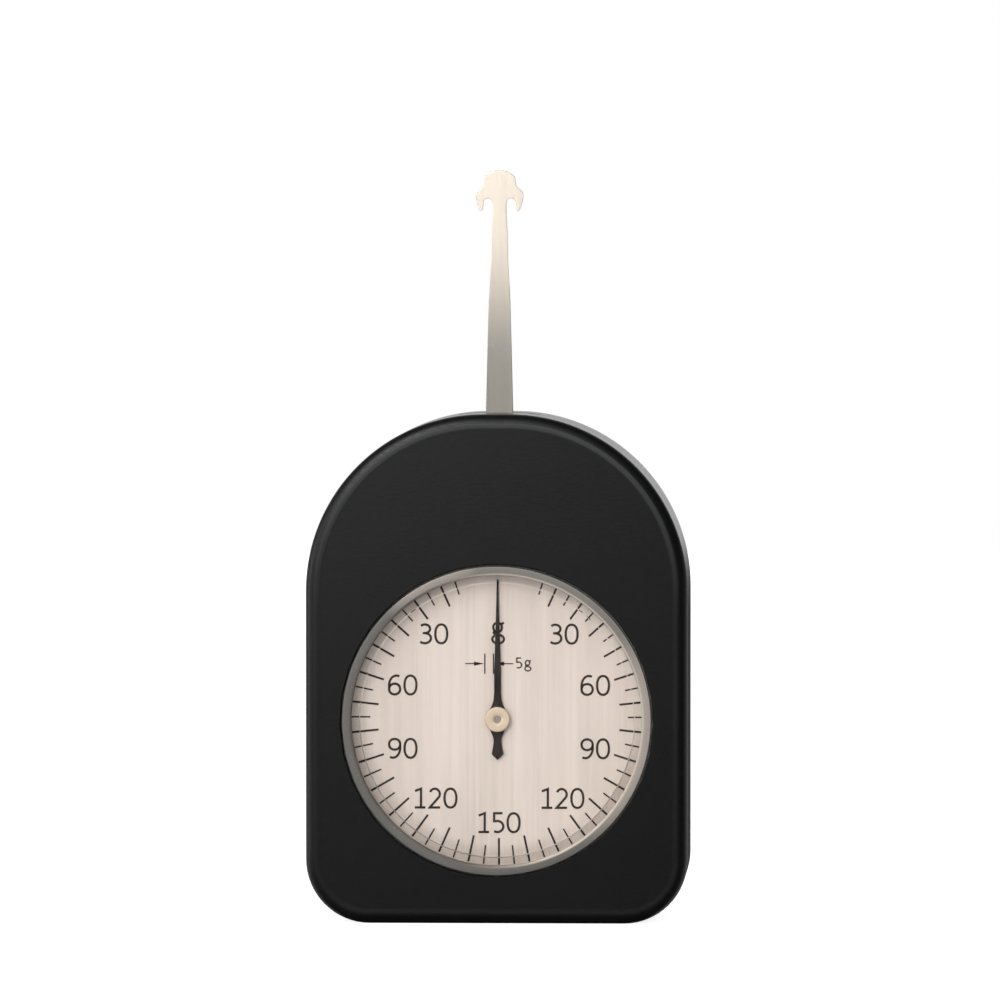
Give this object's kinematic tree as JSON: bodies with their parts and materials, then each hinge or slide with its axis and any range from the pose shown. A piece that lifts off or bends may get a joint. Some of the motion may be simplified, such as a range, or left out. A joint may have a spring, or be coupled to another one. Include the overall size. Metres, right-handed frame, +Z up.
{
  "type": "dial tension gauge",
  "caption": "hand-held dial tension gauge: flat domed case, round dial with one pointer, and a sprung feeler lever with a double hook that swings either way",
  "frame": {"origin": "middle of the case's flat bottom edge, which the gauge stands on", "axes": "+Z up the feeler lever, -Y out of the dial towards the reader, +X to the reader's right"},
  "size_m": [0.06, 0.026, 0.1183],
  "materials": {
    "black_shell": "satin black enamel",
    "satin_ring": "satin turned",
    "crystal": "clear",
    "black_rubber": "matt black",
    "silver_dial": "brushed warm silver, black print",
    "bright_steel": "ground bright",
    "dark_steel": "dark blackened steel",
    "pale_brass": "pale turned brass",
    "yellow_brass": "brushed brass",
    "blued_spring": "blued spring steel"
  },
  "bodies": {
    "root": {"back_plate": "yellow_brass", "bezel_ring": "satin_ring", "case_screw_1": "dark_steel", "case_screw_2": "dark_steel", "case_screw_3": "dark_steel", "case_screw_4": "dark_steel", "dial_plate": "silver_dial", "dial_spacer": "satin_ring", "front_case": "black_shell", "front_plate": "yellow_brass", "hairspring": "blued_spring", "hairspring_stud": "yellow_brass", "lens_gasket": "black_rubber", "lever_bush_front": "pale_brass", "lever_bush_rear": "pale_brass", "main_spring": "blued_spring", "main_spring_stud": "yellow_brass", "mount_screw_1": "bright_steel", "mount_screw_2": "bright_steel", "mount_screw_3": "bright_steel", "mount_screw_4": "bright_steel", "pillar_1": "yellow_brass", "pillar_2": "yellow_brass", "pillar_3": "yellow_brass", "pillar_4": "yellow_brass", "pillar_screw_1": "bright_steel", "pillar_screw_2": "bright_steel", "pillar_screw_3": "bright_steel", "pillar_screw_4": "bright_steel", "pointer_bush_front": "pale_brass", "pointer_bush_rear": "pale_brass", "rear_case": "black_shell", "stop_pin_left": "bright_steel", "stop_pin_right": "bright_steel", "window_lens": "crystal"},
    "lever": {"feeler_lever": "bright_steel", "lever_hub": "pale_brass", "lever_spacer": "pale_brass", "lever_arbor": "bright_steel", "sector_gear": "yellow_brass", "balance_weight": "yellow_brass", "lever_screw_1": "bright_steel", "lever_screw_2": "bright_steel", "main_spring_collet": "pale_brass"},
    "pointer_train": {"pinion_arbor": "bright_steel", "pointer": "dark_steel", "pointer_hub": "pale_brass", "hairspring_collet": "pale_brass"}
  },
  "joints": [
    {"name": "lever_swing", "type": "hinge", "parent": "root", "child": "lever", "pos_m": [0, 0, 0.0619], "axis": [0, 1, 0], "range_deg": [-12, 12], "stiffness_Nm_per_rad": 0.37, "deforming": ["main_spring"]},
    {"name": "pointer_spin", "type": "hinge", "parent": "root", "child": "pointer_train", "pos_m": [0, 0, 0.0319], "axis": [0, 1, 0], "range_deg": [-180, 180], "deforming": ["hairspring"]}
  ],
  "couplings": [
    {"joint": "pointer_spin", "follows": "lever_swing", "ratio": -15}
  ]
}
